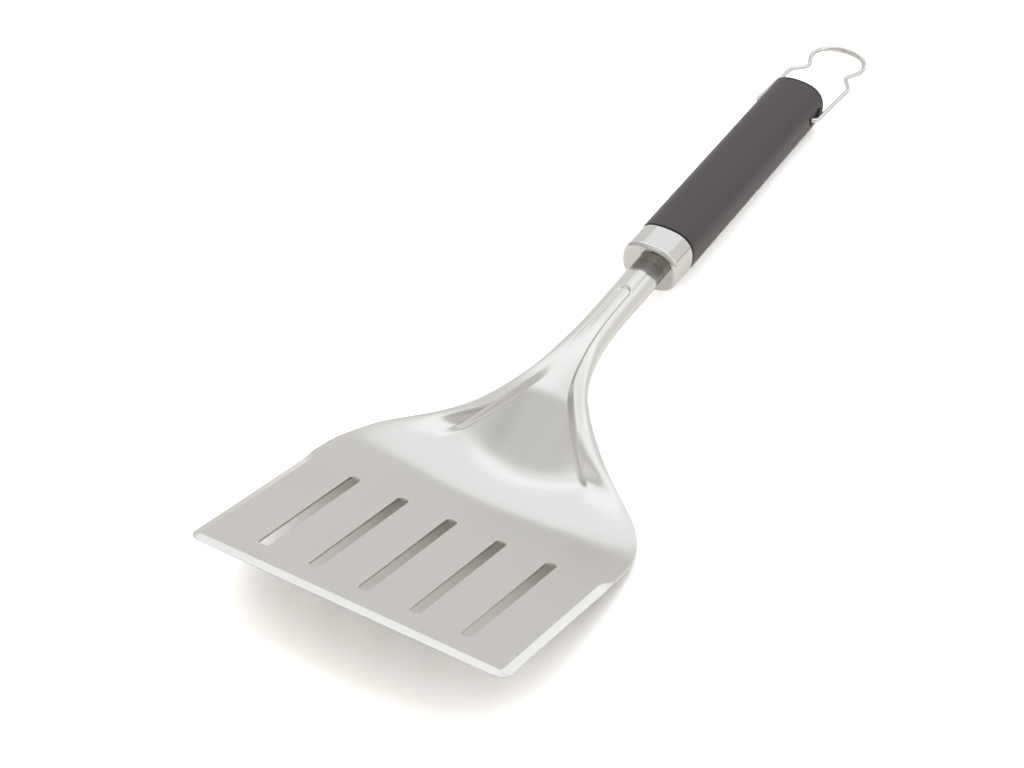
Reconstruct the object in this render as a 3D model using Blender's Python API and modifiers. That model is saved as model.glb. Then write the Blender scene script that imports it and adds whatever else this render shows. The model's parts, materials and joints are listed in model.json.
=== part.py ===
"""Grill spatula: a stamped steel blade with a channelled neck, a flat tang, a polished ferrule,
a nylon core under a soft grip, an end cap, two cross pins and a wire loop that swings.

The blade frame has X across, Y from the front edge towards the handle and Z up from the flat
plate's top. The handle frame starts at the ferrule's front face with Y along the handle. Lengths
are in millimetres until a mesh is made. The tool lies on its heel and its butt, front edge raised.
"""
import math

import bmesh
import bpy
import numpy as np
from mathutils import Vector

MM = 0.001
GAP = 0.3                      # left between pieces that touch

# Blade plate
THICKNESS = 1.5
FRONT_CORNER = 5.5             # radius in plan
BEVEL_WIDTH = 3.75             # ground along the front and both sides
BEVEL_DEPTH = 1.2
BEVEL_END = 87.0               # the side bevels run out from here
BEVEL_WHEEL = 26.0             # radius of the run-out
SLOT_COUNT = 5
SLOT_PITCH = 24.4
SLOT_WIDTH = 5.0
SLOT_CORNER = 2.0
SLOT_START = 15.0
SLOT_END = 89.7

# Stamped bends, as slopes that start at a line curved by x squared over the sag
RAMP_SLOPE, RAMP_Y, RAMP_SAG, RAMP_BLEND = 0.26, 112.0, 370.0, 2.0
FAN_SLOPE, FAN_Y, FAN_SAG, FAN_BLEND = 0.622, 132.0, 71.0, 2.2
CREASE_DROP, CREASE_Y, CREASE_BLEND = 0.272, 163.5, 1.0
NECK_DROP, NECK_Y, NECK_BLEND = 0.30, 187.0, 4.0

# Neck and its channel
NECK_END = 240.2
RIM_PLATE, RIM_NECK = 7.5, 1.2 # flat strip along each edge, folded down beside the neck
CROWN_RISE = 2.6               # how far the crown stands above the channel's floor
EARS_Y, EARS_LENGTH = 135.5, 16.0
WALL_EARS, WALL_NECK = 5.0, 1.6 # width of the channel's side wall in plan
WALL_START, WALL_CHANGE = 138.0, 50.0
FADE_START, FADE_LENGTH = 158.0, 30.0
CHANNEL_FADE = 1.3             # how much shallower the channel gets before the ferrule
CHANNEL_END = 228.0            # its rounded end
CHANNEL_UNDER = 0.9            # how much wider the channel is on the underside
NECK_CAMBER = 1.0

# Where each change along the sheet starts and how long it takes
RIM_START, RIM_CHANGE = 100.0, 50.0
CAMBER_START, CAMBER_CHANGE = 186.0, 20.0
SQUARE_START, SQUARE_CHANGE = 170.0, 30.0  # sections turn square to the handle
LEAN_START, LEAN_CHANGE = 156.0, 24.0
LEAN_PLATE, LEAN_NECK = 0.85, 0.25         # how much of the chord's slope the crown leaves with
CURVE_HANDLE = 0.42                        # length of the curve's handles over its chord

# Stations along the blade: y, half width, edge height, half width of the channel, fold in degrees
STATIONS = (
    (0.0, 76.0, 0.0, 41.0, 0.0),
    (60.0, 75.6, 0.0, 41.0, 0.0),
    (104.0, 75.0, 0.0, 41.0, 0.0),
    (112.0, 74.4, 0.0, 41.0, 0.0),
    (120.0, 72.5, 0.3, 41.0, 1.0),
    (128.0, 69.2, 1.4, 41.2, 5.0),
    (136.0, 63.4, 3.6, 39.8, 9.0),
    (144.0, 53.6, 7.0, 35.2, 15.0),
    (150.0, 44.3, 11.0, 26.8, 23.0),
    (156.0, 33.9, 17.4, 19.6, 35.0),
    (162.0, 24.6, 25.3, 13.8, 50.0),
    (168.0, 17.6, 32.4, 9.5, 64.0),
    (176.0, 12.9, 38.3, 6.8, 76.0),
    (188.0, 9.8, 44.2, 5.0, 84.0),
    (202.0, 8.4, 49.2, 4.0, 87.0),
    (222.0, 8.1, 55.1, 3.7, 88.0),
    (241.0, 8.1, 60.9, 3.7, 88.0),
)
FLOOR_COLUMNS = 6
WALL_COLUMNS = 3
SHOULDER_COLUMNS = 6
RIM_COLUMNS = 2

# Handle frame in the blade frame
HANDLE_ORIGIN = (0.0, 247.9, 65.4)
HANDLE_RISE = 15.86            # degrees above the plate

# Handle section: a superellipse, tapering to the butt
HANDLE_HALF_WIDTH = 14.22
HANDLE_TOP = 11.95             # above the axis
HANDLE_BELLY = 12.6            # below the axis
HANDLE_POWER = 2.55
HANDLE_SEGMENTS = 36
BUTT_TAPER = 0.03

# Handle lengths along its own Y
FERRULE_LENGTH = 16.0
FERRULE_EDGE = 2.0
FERRULE_WALL = 1.4
FERRULE_FACE = 2.0
CORE_RIM = 0.3                 # black line between the ferrule and the grip
GRIP_START = FERRULE_LENGTH + 2 * GAP + CORE_RIM
GRIP_WALL = 2.2
SMALL_EDGE = 0.4               # chamfer at the ferrule's rear and the grip's front
CORE_RIM_INSET = 0.9
BUTT = 152.3
CAP_THICKNESS = 2.2
CAP_EDGE = 2.0
CAP_START = BUTT - CAP_THICKNESS
CAP_SPIGOT = (12.0, 8.0, 5.0)  # width, height and depth into the core

# Tang: a bar from inside the neck to deep in the core, and the shoulder seen before the ferrule
BAR_WIDTH = 11.6
BAR_TOP, BAR_BOTTOM = -2.6, -6.0
BAR_FRONT, BAR_REAR = -52.0, 96.0
SHOULDER_FRONT = -6.55
SHOULDER_HALF_WIDTH = 7.6      # an arch like the neck's end, on a flat base
SHOULDER_TOP, SHOULDER_MIDDLE, SHOULDER_BOTTOM = 3.3, -1.5, -3.4
SHOULDER_POWER = 2.1
PIN_PLACES = (34.0, 78.0)
PIN_RADIUS = 1.5
PIN_LOW, PIN_HIGH = -9.0, 2.0

# Hanging loop, in its own frame: the pivot axis along X, the legs along Y
WIRE_RADIUS = 1.15
PIVOT_BEFORE_BUTT = 13.8
PIVOT_HEIGHT = 0.9
PIVOT_HOLE = 1.6
PIN_END = 8.4                  # how near the wire ends come to the middle
LEG_HALF_WIDTH = 16.0
LEG_BEND = 2.4
LEG_LENGTH = 37.3
PINCH = (9.8, 45.6)
HEAD_RADIUS = 13.6
HEAD_CENTRE = 57.6
RECESS_DEPTH = 1.25
RECESS_HALF_HEIGHT = 2.6
RECESS_LENGTH = 9.0
FLOOR_GAP = 0.15

LOOP_REACH = HEAD_CENTRE + HEAD_RADIUS
PIVOT_Y = BUTT - PIVOT_BEFORE_BUTT


# ---------------------------------------------------------------- small maths

def smooth(t):
    """Ease from 0 to 1 as t goes from 0 to 1."""
    t = np.clip(t, 0.0, 1.0)
    return t * t * (3.0 - 2.0 * t)


def ramp_up(t, blend):
    """A line that turns up at t = 0, rounded over about the blend length."""
    return blend * np.logaddexp(0.0, np.asarray(t, dtype=float) / blend)


def natural_spline(xs, ys):
    """The natural cubic spline through the points, as a function."""
    xs, ys = np.array(xs, dtype=float), np.array(ys, dtype=float)
    step = np.diff(xs)
    slope = np.diff(ys) / step
    system = np.eye(len(xs))
    right = np.zeros(len(xs))
    for i in range(1, len(xs) - 1):
        system[i, i - 1:i + 2] = step[i - 1], 2.0 * (step[i - 1] + step[i]), step[i]
        right[i] = 6.0 * (slope[i] - slope[i - 1])
    bend = np.linalg.solve(system, right)

    def value(x):
        i = int(np.clip(np.searchsorted(xs, x) - 1, 0, len(xs) - 2))
        a, b = xs[i + 1] - x, x - xs[i]
        cubic = (bend[i] * a ** 3 + bend[i + 1] * b ** 3) / (6.0 * step[i])
        left = (ys[i] / step[i] - bend[i] * step[i] / 6.0) * a
        return cubic + left + (ys[i + 1] / step[i] - bend[i + 1] * step[i] / 6.0) * b

    return value


# ---------------------------------------------------------------- the stamped sheet

STATION_Y = [row[0] for row in STATIONS]
half_width, edge_height, channel_width, fold_angle = (
    natural_spline(STATION_Y, [row[i] for row in STATIONS]) for i in range(1, 5))


def floor_height(x, y):
    """Height of the sheet along its floor: plate, ramp, steep fan, then the neck's channel."""
    height = RAMP_SLOPE * ramp_up(y - RAMP_Y - x * x / RAMP_SAG, RAMP_BLEND)
    height += FAN_SLOPE * ramp_up(y - FAN_Y - x * x / FAN_SAG, FAN_BLEND)
    height -= CREASE_DROP * ramp_up(y - CREASE_Y, CREASE_BLEND)
    return height - NECK_DROP * ramp_up(y - NECK_Y, NECK_BLEND)


def plan_half_width(y):
    """Half width of the blade in plan, with its rounded front corners."""
    reach = max(FRONT_CORNER - y, 0.0)
    corner = FRONT_CORNER - math.sqrt(FRONT_CORNER ** 2 - reach ** 2)
    return half_width(y) - corner


def crown_rise(y):
    """Height of the crown above the channel's floor, from the two ears beside the fan."""
    return CROWN_RISE * smooth((y - EARS_Y) / EARS_LENGTH)


def channel_depth(y):
    """Depth of the channel: its floor comes up towards its rounded end."""
    return crown_rise(y) - CHANNEL_FADE * smooth((y - FADE_START) / FADE_LENGTH)


def wall_width(y):
    """Width of the channel's side wall in plan: wide at the ears, narrow along the neck."""
    return WALL_EARS + (WALL_NECK - WALL_EARS) * smooth((y - WALL_START) / WALL_CHANGE)


def bezier(start, end, start_angle, end_angle, count):
    """Points after the start of a curve that leaves and arrives at the given downward angles."""
    start, end = np.array(start), np.array(end)
    handle = CURVE_HANDLE * np.linalg.norm(end - start)
    leave = start + handle * np.array([math.cos(start_angle), -math.sin(start_angle)])
    arrive = end - handle * np.array([math.cos(end_angle), -math.sin(end_angle)])
    t = (np.arange(1, count + 1) / count)[:, None]
    s = 1.0 - t
    return s ** 3 * start + 3 * s * s * t * leave + 3 * s * t * t * arrive + t ** 3 * end


def rim_width(y):
    """Width of the flat strip along the edge. On the plate its middle line bounds the bevel."""
    return RIM_PLATE + (RIM_NECK - RIM_PLATE) * float(smooth((y - RIM_START) / RIM_CHANGE))


def crown_row(y):
    """Half section at y without the channel, as rows of x, y, z from the middle to the edge."""
    width, rim, fold = plan_half_width(y), edge_height(y), math.radians(max(fold_angle(y), 0.0))
    channel = channel_width(y)
    inner = channel - wall_width(y)
    x = np.concatenate([np.linspace(0.0, inner, FLOOR_COLUMNS, endpoint=False),
                        np.linspace(inner, channel, WALL_COLUMNS + 1)])
    camber = NECK_CAMBER * smooth((y - CAMBER_START) / CAMBER_CHANGE) * (1.0 - (x / channel) ** 2)
    z = floor_height(x, y) + crown_rise(y) + camber
    strip = rim_width(y)
    shoulder = (width - strip * math.cos(fold), rim + strip * math.sin(fold))
    lean = math.atan2(z[-1] - shoulder[1], shoulder[0] - channel)
    turn = float(smooth((y - LEAN_START) / LEAN_CHANGE))
    lean *= LEAN_PLATE + (LEAN_NECK - LEAN_PLATE) * turn
    curve = bezier((channel, z[-1]), shoulder, lean, fold, SHOULDER_COLUMNS)
    t = (np.arange(1, RIM_COLUMNS + 1) / RIM_COLUMNS)[:, None]
    flat = (1.0 - t) * np.array(shoulder) + t * np.array((width, rim))
    section = np.vstack([np.column_stack([x, z]), curve, flat])
    square = math.tan(math.radians(HANDLE_RISE))
    square *= float(smooth((y - SQUARE_START) / SQUARE_CHANGE))
    along = y + square * (z[0] - section[:, 1])
    return np.column_stack([section[:, 0], along, section[:, 1]])


def bevel_drop(x, y, width):
    """How far the ground bevels lower the top at a point."""
    grind = BEVEL_DEPTH / BEVEL_WIDTH
    front = BEVEL_DEPTH - grind * y
    run_out = max(y - BEVEL_END, 0.0) ** 2 / (2.0 * BEVEL_WHEEL)
    side = BEVEL_DEPTH - run_out - grind * (width - x)
    return np.maximum(np.maximum(front, side), 0.0)


def channel_cut(x, y, grow):
    """How far the channel lowers the sheet at a point. It is wider by grow on the underside."""
    end = CHANNEL_END - channel_width(y)
    inside = channel_width(y) - np.hypot(x, np.maximum(y - end, 0.0))
    return channel_depth(y) * smooth((inside + grow) / wall_width(y))


def sheet_rows():
    """Distances along the blade where the sheet has a row of points, closer where it bends."""
    corner = [FRONT_CORNER * (1.0 - math.cos(math.radians(a))) for a in (0, 30, 60, 90)]
    plate = [BEVEL_WIDTH, SLOT_START - 3.0, 52.0, 84.0, BEVEL_END, 91.0, 94.5, 100.0]
    bends = list(np.arange(106.0, 176.0, 3.4))
    neck = list(np.arange(178.0, 222.0, 6.0))
    channel_end = [CHANNEL_END - back for back in (4.0, 2.6, 1.6, 0.8, 0.2, -0.8)]
    return sorted(corner + plate + bends + neck + channel_end + [NECK_END - 5.0, NECK_END])


def sheet_surfaces():
    """The top and the underside of the right half, as arrays of rows by columns by x, y, z."""
    rows = sheet_rows()
    crown = np.array([crown_row(y) for y in rows])
    across, along = np.gradient(crown, axis=1), np.gradient(crown, axis=0)
    normal = np.cross(across, along)
    normal /= np.linalg.norm(normal, axis=2)[:, :, None]
    normal[:, 0, 0] = 0.0
    top, under = crown.copy(), crown - THICKNESS * normal
    for row, y in enumerate(rows):
        x = crown[row, :, 0]
        top[row, :, 2] -= channel_cut(x, y, 0.0) + bevel_drop(x, y, plan_half_width(y))
        under[row, :, 2] -= channel_cut(x, y, CHANNEL_UNDER)
    return top, under


def half_sheet_mesh(name, top, under):
    """A mesh of both surfaces and the rims between them, open at the middle plane."""
    bm = bmesh.new()
    upper = [[bm.verts.new(Vector(p) * MM) for p in row] for row in top]
    lower = [[bm.verts.new(Vector(p) * MM) for p in row] for row in under]
    last_row, last_column = len(upper) - 1, len(upper[0]) - 1
    for r in range(last_row):
        for c in range(last_column):
            bm.faces.new((upper[r][c], upper[r][c + 1], upper[r + 1][c + 1], upper[r + 1][c]))
            bm.faces.new((lower[r][c], lower[r + 1][c], lower[r + 1][c + 1], lower[r][c + 1]))
        c = last_column
        bm.faces.new((upper[r + 1][c], upper[r][c], lower[r][c], lower[r + 1][c]))
    for c in range(last_column):
        bm.faces.new((upper[0][c + 1], upper[0][c], lower[0][c], lower[0][c + 1]))
        r = last_row
        bm.faces.new((upper[r][c], upper[r][c + 1], lower[r][c + 1], lower[r][c]))
    mesh = bpy.data.meshes.new(name)
    bm.to_mesh(mesh)
    bm.free()
    return mesh


# ---------------------------------------------------------------- scene helpers

def clear_scene():
    for obj in list(bpy.data.objects):
        bpy.data.objects.remove(obj, do_unlink=True)


def new_collection(name):
    collection = bpy.data.collections.new(name)
    bpy.context.scene.collection.children.link(collection)
    return collection


def new_material(name, colour, roughness, metallic):
    material = bpy.data.materials.new(name)
    material.use_nodes = True
    shader = material.node_tree.nodes["Principled BSDF"]
    shader.inputs["Base Color"].default_value = (*colour, 1.0)
    shader.inputs["Roughness"].default_value = roughness
    shader.inputs["Metallic"].default_value = metallic
    return material


def new_object(name, mesh, collection, parent, material=None):
    obj = bpy.data.objects.new(name, mesh)
    collection.objects.link(obj)
    obj.parent = parent
    if material is not None:
        mesh.materials.append(material)
    return obj


def mesh_of(name, bm):
    mesh = bpy.data.meshes.new(name)
    bm.to_mesh(mesh)
    bm.free()
    return mesh


def box_mesh(name, low, high, corner=0.0, corner_axis=0):
    """A box between two corners, its edges along one axis rounded by the corner radius."""
    bm = bmesh.new()
    bmesh.ops.create_cube(bm, size=1.0)
    low, high = Vector(low) * MM, Vector(high) * MM
    for vert in bm.verts:
        for i in range(3):
            vert.co[i] = low[i] if vert.co[i] < 0.0 else high[i]
    if corner > 0.0:
        along = [e for e in bm.edges
                 if abs(e.verts[0].co[corner_axis] - e.verts[1].co[corner_axis]) > 1e-6]
        bmesh.ops.bevel(bm, geom=along, offset=corner * MM, segments=4, profile=0.5,
                        affect="EDGES")
    return mesh_of(name, bm)


def rod_mesh(name, radius, low, high, axis, segments=20):
    """A cylinder whose end centres are the points low and high, along X or Z."""
    bm = bmesh.new()
    low, high = Vector(low) * MM, Vector(high) * MM
    bmesh.ops.create_cone(bm, cap_ends=True, segments=segments, radius1=radius * MM,
                          radius2=radius * MM, depth=(high - low).length)
    turn = Vector((0, 0, 1)).rotation_difference(Vector(axis)).to_matrix()
    bmesh.ops.rotate(bm, verts=bm.verts, matrix=turn)
    bmesh.ops.translate(bm, verts=bm.verts, vec=(low + high) / 2)
    return mesh_of(name, bm)


def handle_ring(along, inset=0.0):
    """The handle's section at a distance along it, moved in by the inset."""
    scale = 1.0 - BUTT_TAPER * max(along - FERRULE_LENGTH, 0.0) / (BUTT - FERRULE_LENGTH)
    a = HANDLE_HALF_WIDTH * scale - inset
    power = 2.0 / HANDLE_POWER
    points = []
    for i in range(HANDLE_SEGMENTS):
        angle = 2.0 * math.pi * i / HANDLE_SEGMENTS
        c, s = math.cos(angle), math.sin(angle)
        b = (HANDLE_TOP if s > 0.0 else HANDLE_BELLY) * scale - inset
        points.append((a * math.copysign(abs(c) ** power, c), along,
                       b * math.copysign(abs(s) ** power, s)))
    return points


def loft_mesh(name, rings):
    """A closed solid through rings of equal point counts, ordered towards +Y."""
    bm = bmesh.new()
    loops = [[bm.verts.new(Vector(p) * MM) for p in ring] for ring in rings]
    count = len(loops[0])
    for near, far in zip(loops, loops[1:]):
        for i in range(count):
            j = (i + 1) % count
            bm.faces.new((near[i], far[i], far[j], near[j]))
    bm.faces.new(loops[0])
    bm.faces.new(reversed(loops[-1]))
    bmesh.ops.recalc_face_normals(bm, faces=bm.faces)
    return mesh_of(name, bm)


def smooth_shade(obj, angle=35.0):
    obj.data.shade_smooth()
    obj.data.set_sharp_from_angle(angle=math.radians(angle))


def boolean(obj, other, operation):
    """Cut or join with another object, which becomes a hidden cutter."""
    modifier = obj.modifiers.new(operation.lower(), "BOOLEAN")
    modifier.operation = operation
    modifier.solver = "EXACT"
    modifier.object = other
    other.hide_render = True
    other.display_type = "WIRE"


# ---------------------------------------------------------------- pieces

def make_blade(parts, cutters, frame, steel):
    mesh = half_sheet_mesh("blade", *sheet_surfaces())
    blade = new_object("blade", mesh, parts, frame, steel)
    mirror = blade.modifiers.new("mirror", "MIRROR")
    mirror.merge_threshold = 0.00001
    for i in range(SLOT_COUNT):
        x = (i - (SLOT_COUNT - 1) / 2) * SLOT_PITCH
        slot = box_mesh("slot", (x - SLOT_WIDTH / 2, SLOT_START, -2 * THICKNESS),
                        (x + SLOT_WIDTH / 2, SLOT_END, THICKNESS), SLOT_CORNER, 2)
        boolean(blade, new_object(f"slot_cutter_{i + 1}", slot, cutters, frame), "DIFFERENCE")
    smooth_shade(blade, 30.0)
    return blade


def shoulder_outline(steps=16):
    """Points of x and z round the tang's shoulder, from its right base over the arch."""
    points = [(SHOULDER_HALF_WIDTH, SHOULDER_BOTTOM)]
    height = SHOULDER_TOP - SHOULDER_MIDDLE
    for i in range(steps + 1):
        c, s = math.cos(math.pi * i / steps), math.sin(math.pi * i / steps)
        points.append((SHOULDER_HALF_WIDTH * math.copysign(abs(c) ** (2.0 / SHOULDER_POWER), c),
                       SHOULDER_MIDDLE + height * s ** (2.0 / SHOULDER_POWER)))
    return points + [(-SHOULDER_HALF_WIDTH, SHOULDER_BOTTOM)]


def make_tang(parts, cutters, frame, steel):
    half = BAR_WIDTH / 2
    bar = box_mesh("tang", (-half, BAR_FRONT, BAR_BOTTOM), (half, BAR_REAR, BAR_TOP), 0.8, 1)
    tang = new_object("tang", bar, parts, frame, steel)
    outline = shoulder_outline()
    shoulder = loft_mesh("shoulder", [[(x, y, z) for x, z in outline]
                                      for y in (SHOULDER_FRONT, -GAP)])
    boolean(tang, new_object("shoulder_block", shoulder, cutters, frame), "UNION")
    for place in PIN_PLACES:
        hole = rod_mesh("hole", PIN_RADIUS + GAP, (0, place, PIN_LOW - 1), (0, place, PIN_HIGH + 1),
                        (0, 0, 1))
        boolean(tang, new_object(f"tang_hole_{place:.0f}", hole, cutters, frame), "DIFFERENCE")
    smooth_shade(tang)


def make_ferrule(parts, cutters, frame, chrome):
    rings = []
    for angle in (0, 22.5, 45, 67.5, 90):
        a = math.radians(angle)
        rings.append(handle_ring(FERRULE_EDGE * (1 - math.sin(a)), FERRULE_EDGE * (1 - math.cos(a))))
    rings.reverse()
    rings += [handle_ring(FERRULE_LENGTH - SMALL_EDGE), handle_ring(FERRULE_LENGTH, SMALL_EDGE)]
    ferrule = new_object("ferrule", loft_mesh("ferrule", rings), parts, frame, chrome)
    cavity = loft_mesh("cavity", [handle_ring(FERRULE_FACE, FERRULE_WALL),
                                  handle_ring(FERRULE_LENGTH + 1, FERRULE_WALL)])
    boolean(ferrule, new_object("ferrule_cavity", cavity, cutters, frame), "DIFFERENCE")
    half = BAR_WIDTH / 2 + GAP
    mouth = box_mesh("mouth", (-half, -1, BAR_BOTTOM - GAP), (half, FERRULE_FACE + 1, BAR_TOP + GAP))
    boolean(ferrule, new_object("ferrule_mouth", mouth, cutters, frame), "DIFFERENCE")
    smooth_shade(ferrule, 40.0)


def make_core(parts, cutters, frame, nylon):
    ferrule_inset = FERRULE_WALL + GAP
    grip_inset = GRIP_WALL + GAP
    rim = FERRULE_LENGTH + GAP
    rings = [handle_ring(FERRULE_FACE + GAP, ferrule_inset), handle_ring(rim, ferrule_inset),
             handle_ring(rim, CORE_RIM_INSET), handle_ring(rim + CORE_RIM, CORE_RIM_INSET),
             handle_ring(rim + CORE_RIM, grip_inset), handle_ring(CAP_START - GAP, grip_inset)]
    core = new_object("handle_core", loft_mesh("core", rings), parts, frame, nylon)
    half = BAR_WIDTH / 2 + GAP
    slot = box_mesh("slot", (-half, FERRULE_FACE - 1, BAR_BOTTOM - GAP),
                    (half, BAR_REAR + GAP, BAR_TOP + GAP))
    boolean(core, new_object("core_slot", slot, cutters, frame), "DIFFERENCE")
    for place in PIN_PLACES:
        hole = rod_mesh("hole", PIN_RADIUS + GAP, (0, place, PIN_LOW - 6), (0, place, PIN_HIGH + GAP),
                        (0, 0, 1))
        boolean(core, new_object(f"core_hole_{place:.0f}", hole, cutters, frame), "DIFFERENCE")
    width, height, depth = CAP_SPIGOT
    pocket = box_mesh("pocket", (-width / 2 - GAP, CAP_START - depth - GAP, -height / 2 - GAP),
                      (width / 2 + GAP, BUTT, height / 2 + GAP))
    boolean(core, new_object("core_pocket", pocket, cutters, frame), "DIFFERENCE")
    boolean(core, pivot_bore(cutters, frame, "core_bore"), "DIFFERENCE")
    smooth_shade(core)


def pivot_bore(cutters, frame, name):
    bore = rod_mesh(name, PIVOT_HOLE, (-20, PIVOT_Y, PIVOT_HEIGHT), (20, PIVOT_Y, PIVOT_HEIGHT),
                    (1, 0, 0), 24)
    return new_object(name, bore, cutters, frame)


def make_grip(parts, cutters, frame, soft_touch):
    rings = [handle_ring(GRIP_START, SMALL_EDGE), handle_ring(GRIP_START + SMALL_EDGE),
             handle_ring(CAP_START - GAP)]
    grip = new_object("grip", loft_mesh("grip", rings), parts, frame, soft_touch)
    hollow = loft_mesh("hollow", [handle_ring(GRIP_START - 1, GRIP_WALL),
                                  handle_ring(CAP_START + 1, GRIP_WALL)])
    boolean(grip, new_object("grip_hollow", hollow, cutters, frame), "DIFFERENCE")
    boolean(grip, pivot_bore(cutters, frame, "grip_bore"), "DIFFERENCE")
    surface = max(p[0] for p in handle_ring(PIVOT_Y))
    for side in (-1, 1):
        near, far = sorted((side * (surface - RECESS_DEPTH), side * (surface + 3)))
        low = (near, PIVOT_Y - RECESS_HALF_HEIGHT, PIVOT_HEIGHT - RECESS_HALF_HEIGHT)
        high = (far, PIVOT_Y + RECESS_LENGTH, PIVOT_HEIGHT + RECESS_HALF_HEIGHT)
        recess = box_mesh("recess", low, high, RECESS_HALF_HEIGHT - 0.1, 0)
        name = "grip_recess_left" if side < 0 else "grip_recess_right"
        boolean(grip, new_object(name, recess, cutters, frame), "DIFFERENCE")
    smooth_shade(grip)


def make_end_cap(parts, cutters, frame, plastic):
    rings = [handle_ring(CAP_START)]
    for angle in (0, 30, 60, 90):
        a = math.radians(angle)
        rings.append(handle_ring(BUTT - CAP_EDGE * (1 - math.sin(a)), CAP_EDGE * (1 - math.cos(a))))
    cap = new_object("end_cap", loft_mesh("end_cap", rings), parts, frame, plastic)
    width, height, depth = CAP_SPIGOT
    spigot = box_mesh("spigot", (-width / 2, CAP_START - depth, -height / 2),
                      (width / 2, CAP_START + 0.5, height / 2))
    boolean(cap, new_object("cap_spigot", spigot, cutters, frame), "UNION")
    smooth_shade(cap)


def make_pins(parts, frame, steel):
    for name, place in zip(("tang_pin_front", "tang_pin_rear"), PIN_PLACES):
        mesh = rod_mesh(name, PIN_RADIUS, (0, place, PIN_LOW), (0, place, PIN_HIGH), (0, 0, 1))
        smooth_shade(new_object(name, mesh, parts, frame, steel))


def arc(centre, radius, start, end, count):
    """Points on an arc in the XY plane, angles in degrees."""
    angles = np.radians(np.linspace(start, end, count))
    return [(centre[0] + radius * math.cos(a), centre[1] + radius * math.sin(a)) for a in angles]


def rounded(corner, before, after, radius, count=4):
    """The corner of a path between two points, replaced by a rounded bend."""
    corner, before, after = Vector(corner), Vector(before), Vector(after)
    start = corner + (before - corner).normalized() * radius
    end = corner + (after - corner).normalized() * radius
    bend = []
    for i in range(count + 1):
        t = i / count
        bend.append(tuple((1 - t) ** 2 * start + 2 * t * (1 - t) * corner + t * t * end))
    return bend


def loop_path():
    """Right half of the loop's centre line, from the wire's end in the core to the head's top."""
    leg_top, pinch = (LEG_HALF_WIDTH, LEG_LENGTH), PINCH
    head = arc((0, HEAD_CENTRE), HEAD_RADIUS, -14, 90, 13)
    path = [(PIN_END, 0.0)]
    path += arc((LEG_HALF_WIDTH - LEG_BEND, LEG_BEND), LEG_BEND, -90, 0, 5)
    path += rounded(leg_top, (LEG_HALF_WIDTH, 0.0), pinch, 3.0)
    path += rounded(pinch, leg_top, head[0], 2.6)
    return path + head


def make_loop(parts, frame, wire_steel):
    right = loop_path()
    path = right + [(-x, y) for x, y in reversed(right[:-1])]
    curve = bpy.data.curves.new("hanging_loop", "CURVE")
    curve.dimensions = "3D"
    curve.bevel_depth = WIRE_RADIUS * MM
    curve.bevel_resolution = 2
    curve.use_fill_caps = True
    spline = curve.splines.new("POLY")
    spline.points.add(len(path) - 1)
    for point, (x, y) in zip(spline.points, path):
        point.co = (x * MM, y * MM, 0.0, 1.0)
    curve.materials.append(wire_steel)
    loop = bpy.data.objects.new("hanging_loop", curve)
    parts.objects.link(loop)
    loop.parent = frame
    loop.location = (0.0, PIVOT_Y * MM, PIVOT_HEIGHT * MM)
    return loop


# ---------------------------------------------------------------- resting pose

def world_points(names):
    """World positions of the evaluated vertices of the named objects."""
    bpy.context.view_layer.update()
    graph = bpy.context.evaluated_depsgraph_get()
    points = []
    for name in names:
        seen = bpy.data.objects[name].evaluated_get(graph)
        mesh = seen.to_mesh()
        points += [seen.matrix_world @ vert.co for vert in mesh.vertices]
        seen.to_mesh_clear()
    return np.array(points)


def resting_tilt():
    """The angle that puts the blade's heel and the handle's butt on one plane."""
    heel, butt = world_points(["blade"]), world_points(["grip", "end_cap"])
    low, high = math.radians(10.0), math.radians(30.0)
    for _ in range(40):
        tilt = (low + high) / 2
        up = np.array([0.0, -math.sin(tilt), math.cos(tilt)])
        if (heel @ up).min() < (butt @ up).min():
            low = tilt
        else:
            high = tilt
    return tilt


def rest_on_floor(tool_frame, loop):
    """Tilt the tool, lay the loop's end on the floor, and centre the whole over the origin."""
    tilt = resting_tilt()
    tool_frame.rotation_euler.x = -tilt
    floor = world_points(["blade", "grip", "end_cap"])[:, 2].min()
    pivot_height = loop.matrix_world.translation.z - floor
    drop = pivot_height - (WIRE_RADIUS + FLOOR_GAP) * MM
    world_dip = math.asin(drop / (LOOP_REACH * MM))
    loop.rotation_euler.x = -world_dip - (math.radians(HANDLE_RISE) - tilt)
    every = world_points([obj.name for obj in bpy.data.collections["grill_spatula"].objects])
    low, high = every.min(axis=0), every.max(axis=0)
    tool_frame.location = (0.0, -(low[1] + high[1]) / 2, -low[2])
    bpy.context.view_layer.update()


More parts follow.
